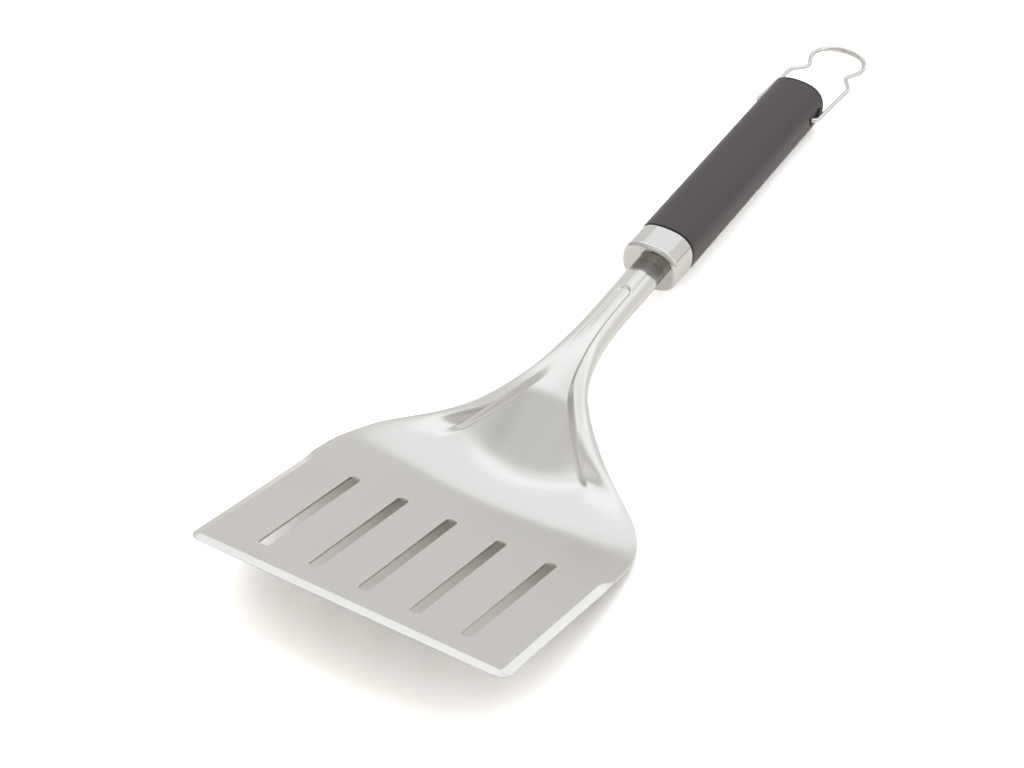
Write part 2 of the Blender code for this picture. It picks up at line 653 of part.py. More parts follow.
def build():
    clear_scene()
    parts, cutters = new_collection("grill_spatula"), new_collection("cutters")
    tool_frame = bpy.data.objects.new("tool_frame", None)
    handle_frame = bpy.data.objects.new("handle_frame", None)
    for empty in (tool_frame, handle_frame):
        bpy.context.scene.collection.objects.link(empty)
    handle_frame.parent = tool_frame
    handle_frame.location = Vector(HANDLE_ORIGIN) * MM
    handle_frame.rotation_euler.x = math.radians(HANDLE_RISE)

    steel = new_material("brushed steel", (0.60, 0.59, 0.57), 0.30, 1.0)
    grey_steel = new_material("grey steel", (0.38, 0.36, 0.34), 0.35, 1.0)
    chrome = new_material("polished steel", (0.78, 0.78, 0.77), 0.08, 1.0)
    nylon = new_material("black nylon", (0.02, 0.02, 0.02), 0.50, 0.0)
    soft_touch = new_material("soft grip", (0.085, 0.078, 0.076), 0.60, 0.0)
    pin_steel = new_material("pin steel", (0.50, 0.50, 0.50), 0.35, 1.0)
    wire_steel = new_material("wire steel", (0.72, 0.71, 0.69), 0.15, 1.0)

    make_blade(parts, cutters, tool_frame, steel)
    make_tang(parts, cutters, handle_frame, grey_steel)
    make_ferrule(parts, cutters, handle_frame, chrome)
    make_core(parts, cutters, handle_frame, nylon)
    make_grip(parts, cutters, handle_frame, soft_touch)
    make_end_cap(parts, cutters, handle_frame, soft_touch)
    make_pins(parts, handle_frame, pin_steel)
    loop = make_loop(parts, handle_frame, wire_steel)
    rest_on_floor(tool_frame, loop)


build()
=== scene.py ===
"""Looks for the grill spatula: fine meshes on the CAD's own formulas, procedural materials,
a pale floor, a soft studio surround and the camera.

The blade frame has X across, Y from the front edge towards the handle and Z up from the flat
plate's top. The handle frame starts at the ferrule's front face with Y along the handle. Lengths
are in millimetres until a mesh is made.
"""
import json
import math

import bpy
import numpy as np
from mathutils import Matrix, Vector


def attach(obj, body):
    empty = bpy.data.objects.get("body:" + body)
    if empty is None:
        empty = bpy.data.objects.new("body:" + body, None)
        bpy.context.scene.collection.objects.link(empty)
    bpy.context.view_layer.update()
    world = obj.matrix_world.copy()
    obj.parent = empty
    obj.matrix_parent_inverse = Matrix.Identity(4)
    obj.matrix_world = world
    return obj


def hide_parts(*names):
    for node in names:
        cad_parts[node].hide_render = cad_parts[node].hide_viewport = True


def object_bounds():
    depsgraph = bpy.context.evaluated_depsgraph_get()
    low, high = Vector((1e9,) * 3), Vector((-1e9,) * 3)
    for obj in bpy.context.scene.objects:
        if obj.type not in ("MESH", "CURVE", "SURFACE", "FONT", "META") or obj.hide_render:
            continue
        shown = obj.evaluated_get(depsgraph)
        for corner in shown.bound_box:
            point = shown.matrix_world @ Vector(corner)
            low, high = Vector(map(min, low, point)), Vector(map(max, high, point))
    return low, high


MM = 0.001
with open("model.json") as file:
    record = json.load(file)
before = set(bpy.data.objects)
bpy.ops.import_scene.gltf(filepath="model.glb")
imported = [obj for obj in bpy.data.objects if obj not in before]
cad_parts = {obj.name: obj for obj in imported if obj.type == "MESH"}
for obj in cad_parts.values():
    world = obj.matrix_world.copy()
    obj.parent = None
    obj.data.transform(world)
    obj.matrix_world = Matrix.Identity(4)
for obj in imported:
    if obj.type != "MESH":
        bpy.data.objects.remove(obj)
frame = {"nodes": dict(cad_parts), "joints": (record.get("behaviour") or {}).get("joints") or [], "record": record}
cad_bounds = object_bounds()

# ---------------------------------------------------------------- the CAD's own numbers

THICKNESS = 1.5
FRONT_CORNER = 5.5
BEVEL_WIDTH, BEVEL_DEPTH = 3.75, 1.2
BEVEL_END, BEVEL_WHEEL = 87.0, 26.0
SLOT_COUNT, SLOT_PITCH, SLOT_WIDTH, SLOT_CORNER = 5, 24.4, 5.0, 2.0
SLOT_START, SLOT_END = 15.0, 89.7

RAMP_SLOPE, RAMP_Y, RAMP_SAG, RAMP_BLEND = 0.26, 112.0, 370.0, 2.0
FAN_SLOPE, FAN_Y, FAN_SAG, FAN_BLEND = 0.622, 132.0, 71.0, 2.2
CREASE_DROP, CREASE_Y, CREASE_BLEND = 0.272, 163.5, 1.0
NECK_DROP, NECK_Y, NECK_BLEND = 0.30, 187.0, 4.0
NECK_END = 240.2
RIM_PLATE, RIM_NECK = 7.5, 1.2
CROWN_RISE = 2.6
EARS_Y, EARS_LENGTH = 135.5, 16.0
WALL_EARS, WALL_NECK = 5.0, 1.6
WALL_START, WALL_CHANGE = 138.0, 50.0
FADE_START, FADE_LENGTH = 158.0, 30.0
CHANNEL_FADE, CHANNEL_END, CHANNEL_UNDER = 1.3, 228.0, 0.9
NECK_CAMBER = 1.0

# Where each change along the sheet starts and how long it takes
RIM_START, RIM_CHANGE = 100.0, 50.0
CAMBER_START, CAMBER_CHANGE = 186.0, 20.0
SQUARE_START, SQUARE_CHANGE = 170.0, 30.0
LEAN_START, LEAN_CHANGE = 156.0, 24.0
LEAN_PLATE, LEAN_DROP = 0.85, 0.6
CURVE_HANDLE = 0.42

# y, half width, edge height, half width of the channel, fold in degrees
STATIONS = (
    (0.0, 76.0, 0.0, 41.0, 0.0),
    (60.0, 75.6, 0.0, 41.0, 0.0),
    (104.0, 75.0, 0.0, 41.0, 0.0),
    (112.0, 74.4, 0.0, 41.0, 0.0),
    (120.0, 72.5, 0.3, 41.0, 1.0),
    (128.0, 69.2, 1.4, 41.2, 5.0),
    (136.0, 63.4, 3.6, 39.8, 9.0),
    (144.0, 53.6, 7.0, 35.2, 15.0),
    (150.0, 44.3, 11.0, 26.8, 23.0),
    (156.0, 33.9, 17.4, 19.6, 35.0),
    (162.0, 24.6, 25.3, 13.8, 50.0),
    (168.0, 17.6, 32.4, 9.5, 64.0),
    (176.0, 12.9, 38.3, 6.8, 76.0),
    (188.0, 9.8, 44.2, 5.0, 84.0),
    (202.0, 8.4, 49.2, 4.0, 87.0),
    (222.0, 8.1, 55.1, 3.7, 88.0),
    (241.0, 8.1, 60.9, 3.7, 88.0),
)

HANDLE_ORIGIN = (0.0, 247.9, 65.4)
HANDLE_RISE = 15.86
HANDLE_HALF_WIDTH = 14.22
HANDLE_TOP, HANDLE_BELLY = 11.95, 12.6
HANDLE_POWER = 2.55
BUTT_TAPER = 0.03
FERRULE_LENGTH, FERRULE_EDGE, FERRULE_WALL, FERRULE_FACE = 16.0, 2.0, 1.4, 2.0
GAP = 0.3
CORE_RIM = 0.3
GRIP_START = FERRULE_LENGTH + 2 * GAP + CORE_RIM
GRIP_WALL = 2.2
BUTT = 152.3
CAP_THICKNESS = 2.2
CAP_START = BUTT - CAP_THICKNESS
CAP_EDGE = 2.0
BAR_WIDTH, BAR_TOP, BAR_BOTTOM = 11.6, -2.6, -6.0
BAR_FRONT, BAR_REAR, BAR_CORNER = -52.0, 96.0, 0.8
SHOULDER_FRONT, SHOULDER_HALF_WIDTH = -6.55, 7.6
SHOULDER_TOP, SHOULDER_MIDDLE, SHOULDER_BOTTOM = 3.3, -1.5, -3.4
SHOULDER_POWER = 2.1

WIRE_RADIUS = 1.15
PIVOT_BEFORE_BUTT = 13.8
PIVOT_Y, PIVOT_HEIGHT, PIVOT_HOLE = BUTT - PIVOT_BEFORE_BUTT, 0.9, 1.6
PIN_END, LEG_HALF_WIDTH, LEG_BEND, LEG_LENGTH = 8.4, 16.0, 2.4, 37.3
PINCH = (9.8, 45.6)
HEAD_RADIUS, HEAD_CENTRE = 13.58, 57.6    # the radius is 0.02 under the CAD's, to stay in its box
RECESS_DEPTH, RECESS_HALF_HEIGHT, RECESS_LENGTH = 1.25, 2.6, 9.0

# Where the record's plate_underside mount sits, in the blade frame
MOUNT_PLACE = (12.2, 50.0, -THICKNESS)

# Detail that the CAD leaves out
RIM_ROUND_PLATE, RIM_ROUND_NECK = 0.12, 0.20
RIM_ROUND_START, RIM_ROUND_CHANGE = 100, 60
RIM_ROUND_LIMIT = 0.45         # of the edge's own height
SLOT_FLARE = 0.26              # rounding of the slots' edges
SLOT_LIP = 0.96                # carries the flare just past the faces, so no sliver is left
SLOT_CLEAR = 0.05
SLOT_BELOW, SLOT_ABOVE = -3.0, 2.0
SHARP_ANGLE = math.radians(8.0)
HANDLE_SEGMENTS = 144
FERRULE_REAR_EDGE, GRIP_FRONT_EDGE, SEAM_EDGE = 0.45, 0.5, 0.15
BAR_EDGE, SHOULDER_EDGE, SHOULDER_REAR = 0.3, 0.1, -0.05
RIM_INSET, RIM_CROWN, RIM_CROWN_WIDTH = 0.95, 0.85, 0.1
LEG_CORNER, PINCH_CORNER, WIRE_END = 3.0, 2.6, 0.25

# Places of the blade's finishes in its material list
STEEL, FRONT_GRIND, SIDE_GRIND, CUT_EDGE, SLOT_EDGE = range(5)


# ---------------------------------------------------------------- frames from the record

def mount(name):
    return next(m for m in frame["record"]["mounts"] if m["name"] == name)


def blade_frame():
    """The blade frame in the world, from the plate's underside in the record."""
    underside = mount("plate_underside")
    tilt = math.atan2(underside["axis"][1], underside["axis"][2]) + math.pi
    turn = Matrix.Rotation(-tilt, 4, "X")
    known = Vector(MOUNT_PLACE) * MM
    return Matrix.Translation(Vector(underside["pos_m"]) - turn @ known) @ turn


def loop_frame():
    """The loop's frame: its origin on the pivot and Y along the legs."""
    pivot = Vector(frame["joints"][0]["pos_m"])
    reach = Vector(mount("hang_loop")["pos_m"]) - pivot
    rise = math.atan2(reach.z, reach.y)
    return Matrix.Translation(pivot) @ Matrix.Rotation(rise, 4, "X")


BLADE = blade_frame()
HANDLE = (BLADE @ Matrix.Translation(Vector(HANDLE_ORIGIN) * MM)
          @ Matrix.Rotation(math.radians(HANDLE_RISE), 4, "X"))
LOOP = loop_frame()


# ---------------------------------------------------------------- small maths

def smooth(t):
    t = np.clip(t, 0.0, 1.0)
    return t * t * (3.0 - 2.0 * t)


def ramp_up(t, blend):
    return blend * np.logaddexp(0.0, np.asarray(t, dtype=float) / blend)


def natural_spline(xs, ys):
    """The natural cubic spline through the points, as a function of arrays."""
    xs, ys = np.array(xs, dtype=float), np.array(ys, dtype=float)
    step = np.diff(xs)
    slope = np.diff(ys) / step
    system = np.eye(len(xs))
    right = np.zeros(len(xs))
    for i in range(1, len(xs) - 1):
        system[i, i - 1:i + 2] = step[i - 1], 2.0 * (step[i - 1] + step[i]), step[i]
        right[i] = 6.0 * (slope[i] - slope[i - 1])
    bend = np.linalg.solve(system, right)

    def value(x):
        i = np.clip(np.searchsorted(xs, x) - 1, 0, len(xs) - 2)
        a, b, h = xs[i + 1] - x, x - xs[i], step[i]
        cubic = (bend[i] * a ** 3 + bend[i + 1] * b ** 3) / (6.0 * h)
        left = (ys[i] / h - bend[i] * h / 6.0) * a
        return cubic + left + (ys[i + 1] / h - bend[i + 1] * h / 6.0) * b

    return value


STATION_Y = [row[0] for row in STATIONS]
half_width, edge_height, channel_width, fold_angle = (
    natural_spline(STATION_Y, [row[i] for row in STATIONS]) for i in range(1, 5))


# ---------------------------------------------------------------- the blade's surfaces

def floor_height(x, y):
    height = RAMP_SLOPE * ramp_up(y - RAMP_Y - x * x / RAMP_SAG, RAMP_BLEND)
    height = height + FAN_SLOPE * ramp_up(y - FAN_Y - x * x / FAN_SAG, FAN_BLEND)
    height = height - CREASE_DROP * ramp_up(y - CREASE_Y, CREASE_BLEND)
    return height - NECK_DROP * ramp_up(y - NECK_Y, NECK_BLEND)


def plan_half_width(y):
    reach = np.maximum(FRONT_CORNER - y, 0.0)
    return half_width(y) - (FRONT_CORNER - np.sqrt(FRONT_CORNER ** 2 - reach ** 2))


def crown_rise(y):
    return CROWN_RISE * smooth((y - EARS_Y) / EARS_LENGTH)


def channel_depth(y):
    return crown_rise(y) - CHANNEL_FADE * smooth((y - FADE_START) / FADE_LENGTH)


def wall_width(y):
    return WALL_EARS + (WALL_NECK - WALL_EARS) * smooth((y - WALL_START) / WALL_CHANGE)


def rim_width(y):
    return RIM_PLATE + (RIM_NECK - RIM_PLATE) * smooth((y - RIM_START) / RIM_CHANGE)


FLOOR_COLUMNS, WALL_COLUMNS, SHOULDER_COLUMNS, RIM_COLUMNS = 26, 20, 34, 12


def crown_surface(ys):
    """Right half of the sheet without the channel: rows by columns by x, y, z."""
    y = np.asarray(ys, dtype=float)[:, None]
    width, rim = plan_half_width(y), edge_height(y)
    fold = np.radians(np.maximum(fold_angle(y), 0.0))
    channel = channel_width(y)
    inner = channel - wall_width(y)
    t = np.linspace(0.0, 1.0, FLOOR_COLUMNS, endpoint=False)[None]
    w = np.linspace(0.0, 1.0, WALL_COLUMNS + 1)[None]
    x = np.hstack([inner * t, inner + (channel - inner) * w])
    camber = NECK_CAMBER * smooth((y - CAMBER_START) / CAMBER_CHANGE)
    camber = camber * (1.0 - (x / channel) ** 2)
    z = floor_height(x, y) + crown_rise(y) + camber

    strip = rim_width(y)
    shoulder_x, shoulder_z = width - strip * np.cos(fold), rim + strip * np.sin(fold)
    start_x, start_z = channel, z[:, -1:]
    lean = np.arctan2(start_z - shoulder_z, shoulder_x - start_x)
    lean = lean * (LEAN_PLATE - LEAN_DROP * smooth((y - LEAN_START) / LEAN_CHANGE))
    reach = CURVE_HANDLE * np.hypot(shoulder_x - start_x, shoulder_z - start_z)
    leave = start_x + reach * np.cos(lean), start_z - reach * np.sin(lean)
    arrive = shoulder_x - reach * np.cos(fold), shoulder_z + reach * np.sin(fold)
    t = (np.arange(1, SHOULDER_COLUMNS + 1) / SHOULDER_COLUMNS)[None]
    s = 1.0 - t
    curve = [s ** 3 * a + 3 * s * s * t * b + 3 * s * t * t * c + t ** 3 * d
             for a, b, c, d in zip((start_x, start_z), leave, arrive, (shoulder_x, shoulder_z))]
    t = (np.arange(1, RIM_COLUMNS + 1) / RIM_COLUMNS)[None]
    flat = [(1 - t) * shoulder_x + t * width, (1 - t) * shoulder_z + t * rim]
    x, z = np.hstack([x, curve[0], flat[0]]), np.hstack([z, curve[1], flat[1]])
    square = math.tan(math.radians(HANDLE_RISE)) * smooth((y - SQUARE_START) / SQUARE_CHANGE)
    return np.stack([x, y + square * (z[:, :1] - z), z], 2)


def bevel_drop(x, y, width):
    grind = BEVEL_DEPTH / BEVEL_WIDTH
    front = BEVEL_DEPTH - grind * y
    run_out = np.maximum(y - BEVEL_END, 0.0) ** 2 / (2.0 * BEVEL_WHEEL)
    side = BEVEL_DEPTH - run_out - grind * (width - x)
    return np.maximum(np.maximum(front, side), 0.0)


def channel_cut(x, y, grow):
    end = CHANNEL_END - channel_width(y)
    inside = channel_width(y) - np.hypot(x, np.maximum(y - end, 0.0))
    return channel_depth(y) * smooth((inside + grow) / wall_width(y))


def sheet_rows():
    """Distances along the blade with a row of points: sparse on the plate, fine in the bends."""
    corner = [FRONT_CORNER * (1.0 - math.cos(math.radians(a))) for a in (0, 25, 40, 55, 72, 90)]
    plate = [1.2, 3.0, BEVEL_WIDTH, 4.3, 9.0, 30.0, 60.0, 84.0]
    run_out = list(np.arange(86.5, 96.1, 0.5))
    bends = list(np.arange(98.0, 200.0, 0.75))
    neck = list(np.arange(200.0, 222.0, 1.1)) + list(np.arange(222.0, 230.0, 0.25))
    end = list(np.arange(230.5, NECK_END - 0.9, 1.0)) + [NECK_END]
    return np.array(sorted(corner + plate + run_out + bends + neck + end))


def sheet_surfaces(ys):
    """Top and underside across the whole width, as rows by columns by x, y, z."""
    crown = crown_surface(ys)
    y = ys[:, None]
    normal = np.cross(np.gradient(crown, axis=1), np.gradient(crown, axis=0))
    normal /= np.linalg.norm(normal, axis=2)[:, :, None]
    normal[:, 0, 0] = 0.0
    top, under = crown.copy(), crown - THICKNESS * normal
    x = crown[:, :, 0]
    top[:, :, 2] -= channel_cut(x, y, 0.0) + bevel_drop(x, y, plan_half_width(y))
    under[:, :, 2] -= channel_cut(x, y, CHANNEL_UNDER)
    flip = np.array([-1.0, 1.0, 1.0])
    return tuple(np.concatenate([half[:, :0:-1] * flip, half], axis=1) for half in (top, under))


# ---------------------------------------------------------------- mesh helpers

def new_object(name, vertices, faces, matrix, materials, face_material=None):
    """An object in world coordinates from points in millimetres in a piece's own frame."""
    turn, shift = np.array(matrix.to_3x3()), np.array(matrix.translation)
    mesh = bpy.data.meshes.new(name)
    mesh.from_pydata((np.asarray(vertices, dtype=float) * MM @ turn.T + shift).tolist(), [], faces)
    for material in materials:
        mesh.materials.append(material)
    if face_material is not None:
        mesh.polygons.foreach_set("material_index", np.asarray(face_material, dtype=np.int32))
    mesh.validate()
    mesh.shade_smooth()
    obj = bpy.data.objects.new(name, mesh)
    bpy.context.scene.collection.objects.link(obj)
    return obj


def apply_modifiers(obj):
    bpy.context.view_layer.update()
    graph = bpy.context.evaluated_depsgraph_get()
    mesh = bpy.data.meshes.new_from_object(obj.evaluated_get(graph), depsgraph=graph)
    obj.modifiers.clear()
    obj.data = mesh


def boolean(obj, cutter, operation="DIFFERENCE"):
    modifier = obj.modifiers.new("cut", "BOOLEAN")
    modifier.operation = operation
    modifier.solver = "EXACT"
    modifier.object = cutter
    apply_modifiers(obj)
    bpy.data.objects.remove(cutter, do_unlink=True)


def weighted_normals(obj):
    """Flat faces stay flat in shading, and the small rounded edges carry the turn."""
    modifier = obj.modifiers.new("normals", "WEIGHTED_NORMAL")
    modifier.mode = "FACE_AREA"
    modifier.keep_sharp = True
    apply_modifiers(obj)


def loft(rings, close_ends=True):
    """Vertices and faces of a tube through rings of equal point counts, ordered towards +Y."""
    rings = np.asarray(rings, dtype=float)
    count = rings.shape[1]
    i = np.arange(count)
    j = (i + 1) % count
    faces = []
    for k in range(len(rings) - 1):
        near, far = k * count, (k + 1) * count
        faces += np.stack([near + i, far + i, far + j, near + j], 1).tolist()
    if close_ends:
        last = (len(rings) - 1) * count
        faces.append(list(range(count)))
        faces.append(list(range(last + count - 1, last - 1, -1)))
    return rings.reshape(-1, 3), faces


def rounded_rectangle(x0, x1, y0, y1, radius, steps=8):
    """Points round a rectangle with rounded corners, anticlockwise."""
    corners = ((x1 - radius, y1 - radius, 0), (x0 + radius, y1 - radius, 90),
               (x0 + radius, y0 + radius, 180), (x1 - radius, y0 + radius, 270))
    points = []
    for cx, cy, start in corners:
        for k in range(steps + 1):
            a = math.radians(start + 90.0 * k / steps)
            points.append((cx + radius * math.cos(a), cy + radius * math.sin(a)))
    return np.array(points)


# ---------------------------------------------------------------- blade

def boundary_indices(rows, columns):
    """Row and column of every edge point: front, right side, rear and left side in turn."""
    front = [(0, c) for c in range(columns - 1)]
    right = [(r, columns - 1) for r in range(rows - 1)]
    rear = [(rows - 1, c) for c in range(columns - 1, 0, -1)]
    left = [(r, 0) for r in range(rows - 1, 0, -1)]
    return np.array(front + right + rear + left)


def rim_profile(top, under, edge):
    """Pulls both surfaces' edges in and returns the rounded rim between them, ring by ring."""
    r, c = edge[:, 0], edge[:, 1]
    high, low = top[r, c].copy(), under[r, c].copy()
    drop = low - high
    depth = np.linalg.norm(drop, axis=1)[:, None]
    drop /= depth
    along = np.roll(high, -1, 0) - np.roll(high, 1, 0)
    out = np.cross(drop, along)
    out /= -np.linalg.norm(out, axis=1)[:, None]
    middle = high.mean(axis=0)
    out *= np.sign(((high - middle) * out).sum(axis=1).mean())
    change = smooth((high[:, 1:2] - RIM_ROUND_START) / RIM_ROUND_CHANGE)
    radius = RIM_ROUND_PLATE + (RIM_ROUND_NECK - RIM_ROUND_PLATE) * change
    radius = np.minimum(radius, RIM_ROUND_LIMIT * depth)
    top[r, c], under[r, c] = high - radius * out, low - radius * out
    rings = []
    for a in np.radians((30.0, 60.0, 90.0)):
        rings.append(high - radius * out * (1 - math.sin(a)) + radius * drop * (1 - math.cos(a)))
    for a in np.radians((90.0, 60.0, 30.0)):
        rings.append(low - radius * out * (1 - math.sin(a)) - radius * drop * (1 - math.cos(a)))
    return rings


def slot_cutters():
    """One object that cuts all the slots, with a small rounding at both faces."""
    levels = [(SLOT_BELOW, SLOT_FLARE + SLOT_CLEAR)]
    turn = np.radians(np.linspace(78.0, 0.0, 6))
    for a in turn:
        levels.append((-THICKNESS + SLOT_FLARE * (SLOT_LIP - math.sin(a)),
                       SLOT_FLARE * (1 - math.cos(a))))
    for a in turn[::-1]:
        levels.append((-SLOT_FLARE * (SLOT_LIP - math.sin(a)), SLOT_FLARE * (1 - math.cos(a))))
    levels.append((SLOT_ABOVE, SLOT_FLARE + SLOT_CLEAR))
    vertices, faces = [], []
    for i in range(SLOT_COUNT):
        x = (i - (SLOT_COUNT - 1) / 2) * SLOT_PITCH
        rings = []
        for z, grow in levels:
            outline = rounded_rectangle(x - SLOT_WIDTH / 2 - grow, x + SLOT_WIDTH / 2 + grow,
                                        SLOT_START - grow, SLOT_END + grow, SLOT_CORNER + grow)
            rings.append(np.column_stack([outline, np.full(len(outline), z)]))
        points, tube = loft(rings)
        offset = sum(len(v) for v in vertices)
        vertices.append(points)
        faces += [[offset + v for v in reversed(face)] for face in tube]
    return np.vstack(vertices), faces


def make_blade(steel, front_grind, side_grind, cut_steel, slot_steel):
    ys = sheet_rows()
    top, under = sheet_surfaces(ys)
    rows, columns = top.shape[:2]
    edge = boundary_indices(rows, columns)
    rim = rim_profile(top, under, edge)
    vertices = np.vstack([top.reshape(-1, 3), under.reshape(-1, 3)] + rim)

    r, c = np.meshgrid(np.arange(rows - 1), np.arange(columns - 1), indexing="ij")
    a = (r * columns + c).ravel()
    quads = np.stack([a, a + 1, a + columns + 1, a + columns], 1)
    size = rows * columns
    below = quads[:, ::-1] + size
    loops = [edge[:, 0] * columns + edge[:, 1]]
    loops += [2 * size + k * len(edge) + np.arange(len(edge)) for k in range(len(rim))]
    loops.append(loops[0] + size)
    sides = [np.stack([np.roll(u, -1), u, v, np.roll(v, -1)], 1) for u, v in zip(loops, loops[1:])]
    faces = np.vstack([quads, below] + sides)

    centre = vertices[quads].mean(axis=1)
    width = plan_half_width(centre[:, 1])
    side_drop = BEVEL_DEPTH - (BEVEL_DEPTH / BEVEL_WIDTH) * (width - np.abs(centre[:, 0]))
    ground = bevel_drop(np.abs(centre[:, 0]), centre[:, 1], width) > 1e-6
    front = centre[:, 1] * BEVEL_DEPTH / BEVEL_WIDTH < BEVEL_DEPTH - np.maximum(side_drop, 0.0)
    index = np.zeros(len(faces), dtype=int)
    index[:len(quads)] = np.where(ground, np.where(front, FRONT_GRIND, SIDE_GRIND), STEEL)
    index[2 * len(quads):] = CUT_EDGE

    finishes = [steel, front_grind, side_grind, cut_steel, slot_steel]
    blade = new_object("spatula_blade", vertices, faces.tolist(), BLADE, finishes, index)
    points, cutter_faces = slot_cutters()
    cutter = new_object("slots", points, cutter_faces, BLADE, finishes,
                        [SLOT_EDGE] * len(cutter_faces))
    boolean(blade, cutter)
    mark_ground_edges(blade.data)
    weighted_normals(blade)
    return blade


def mark_ground_edges(mesh):
    """Crisp lines round the ground bevels and round the slots' rounded edges."""
    grinds = (FRONT_GRIND, SIDE_GRIND)
    count = len(mesh.polygons)
    material = np.zeros(count, dtype=np.int32)
    mesh.polygons.foreach_get("material_index", material)
    normals = np.zeros(count * 3, dtype=np.float32)
    mesh.polygons.foreach_get("normal", normals)
    normals = normals.reshape(-1, 3)
    first = {}
    sharp = np.zeros(len(mesh.edges), dtype=bool)
    for polygon in mesh.polygons:
        for key in polygon.loop_indices:
            e = mesh.loops[key].edge_index
            if e not in first:
                first[e] = polygon.index
                continue
            a, b = first[e], polygon.index
            ground = material[a] in grinds or material[b] in grinds
            if ground or (material[a] == SLOT_EDGE) != (material[b] == SLOT_EDGE):
                sharp[e] = float(normals[a] @ normals[b]) < math.cos(SHARP_ANGLE)
    mesh.attributes.new("sharp_edge", "BOOLEAN", "EDGE").data.foreach_set("value", sharp)


# ---------------------------------------------------------------- handle

def handle_ring(along, inset=0.0, segments=HANDLE_SEGMENTS):
    scale = 1.0 - BUTT_TAPER * max(along - FERRULE_LENGTH, 0.0) / (BUTT - FERRULE_LENGTH)
    angle = 2.0 * math.pi * np.arange(segments) / segments
    c, s = np.cos(angle), np.sin(angle)
    a = HANDLE_HALF_WIDTH * scale - inset
    b = np.where(s > 0.0, HANDLE_TOP, HANDLE_BELLY) * scale - inset
    power = 2.0 / HANDLE_POWER
    return np.column_stack([a * np.sign(c) * np.abs(c) ** power, np.full(segments, along),
                            b * np.sign(s) * np.abs(s) ** power])


def edge_rings(end, size, direction, start_inset=0.0, steps=8):
    """Rings over a rounded end edge, from the side to the flat face. Direction is +1 at a rear."""
    rings = []
    for a in np.radians(np.linspace(0.0, 90.0, steps + 1)):
        rings.append(handle_ring(end - direction * size * (1 - math.sin(a)),
                                 start_inset + size * (1 - math.cos(a))))
    return rings if direction > 0 else rings[::-1]


def make_ferrule(chrome):
    outer = edge_rings(0.0, FERRULE_EDGE, -1, steps=12)
    outer += [handle_ring(FERRULE_LENGTH * k / 6) for k in range(1, 6)]
    outer += edge_rings(FERRULE_LENGTH, FERRULE_REAR_EDGE, 1, steps=5)
    wall = FERRULE_WALL
    outer += [handle_ring(FERRULE_LENGTH, wall), handle_ring(FERRULE_FACE, wall)]
    ferrule = new_object("ferrule_cup", *loft(outer), HANDLE, [chrome])
    half = BAR_WIDTH / 2 + GAP
    outline = rounded_rectangle(-half, half, BAR_BOTTOM - GAP, BAR_TOP + GAP, BAR_CORNER)
    rings = straight_rings(outline, (-1.0, FERRULE_FACE + 1.0))
    boolean(ferrule, new_object("mouth", *loft(rings), HANDLE, [chrome]))
    weighted_normals(ferrule)
    return ferrule


def straight_rings(outline, places):
    """Rings of one outline of x and z at several distances along the handle."""
    return [np.column_stack([outline[:, 0], np.full(len(outline), y), outline[:, 1]])
            for y in places]


def softened_rings(outline, start, stop, rounding):
    """Rings of a bar between two flat ends whose edges are rounded."""
    middle = (outline.max(axis=0) + outline.min(axis=0)) / 2
    half = (outline.max(axis=0) - outline.min(axis=0)) / 2
    rings = []
    angles = np.radians((90.0, 60.0, 30.0, 0.0))
    ends = [(start + rounding * (1 - math.sin(a)), rounding * (1 - math.cos(a))) for a in angles]
    ends += [(stop - rounding * (1 - math.sin(a)), rounding * (1 - math.cos(a)))
             for a in angles[::-1]]
    for y, inset in ends:
        rings += straight_rings(middle + (outline - middle) * (1 - inset / half), [y])
    return rings


def shoulder_outline(steps=48):
    """Points of x and z round the tang's shoulder, from its right base over the arch."""
    angle = math.pi * np.arange(steps + 1) / steps
    c, s = np.cos(angle), np.sin(angle)
    power = 2.0 / SHOULDER_POWER
    arch = np.column_stack([SHOULDER_HALF_WIDTH * np.sign(c) * np.abs(c) ** power,
                            SHOULDER_MIDDLE + (SHOULDER_TOP - SHOULDER_MIDDLE) * np.abs(s) ** power])
    base = [(side * SHOULDER_HALF_WIDTH, SHOULDER_BOTTOM) for side in (1, -1)]
    return np.vstack([base[:1], arch, base[1:]])


def make_tang(steel):
    half = BAR_WIDTH / 2
    outline = rounded_rectangle(-half, half, BAR_BOTTOM, BAR_TOP, BAR_CORNER)
    rings = softened_rings(outline, BAR_FRONT, BAR_REAR, BAR_EDGE)
    bar = new_object("tang_bar", *loft(rings), HANDLE, [steel])
    shoulder = softened_rings(shoulder_outline(), SHOULDER_FRONT, SHOULDER_REAR, SHOULDER_EDGE)
    boolean(bar, new_object("shoulder", *loft(shoulder), HANDLE, [steel]), "UNION")
    weighted_normals(bar)
    return bar


# The core's rim sits sunk in the gap between ferrule and grip; its black is the nylon's own colour and also
# painted shade for that gap.
def make_core(nylon):
    rim = FERRULE_LENGTH + GAP
    inner = FERRULE_WALL + GAP
    deep = GRIP_WALL + GAP
    rings = [handle_ring(FERRULE_FACE + GAP, inner), handle_ring(rim, inner),
             handle_ring(rim, RIM_INSET), handle_ring(rim + RIM_CROWN_WIDTH, RIM_CROWN),
             handle_ring(rim + CORE_RIM - RIM_CROWN_WIDTH, RIM_CROWN),
             handle_ring(rim + CORE_RIM, RIM_INSET),
             handle_ring(rim + CORE_RIM, deep), handle_ring(CAP_START - GAP, deep)]
    core = new_object("core_rim", *loft(rings), HANDLE, [nylon])
    weighted_normals(core)
    return core


def pivot_bore(radius, material):
    a = np.radians(np.arange(0, 360, 7.5))
    rings = [np.column_stack([np.full(len(a), x), PIVOT_Y + radius * np.cos(a),
                              PIVOT_HEIGHT + radius * np.sin(a)]) for x in (20.0, -20.0)]
    return new_object("bore", *loft(rings), HANDLE, [material])


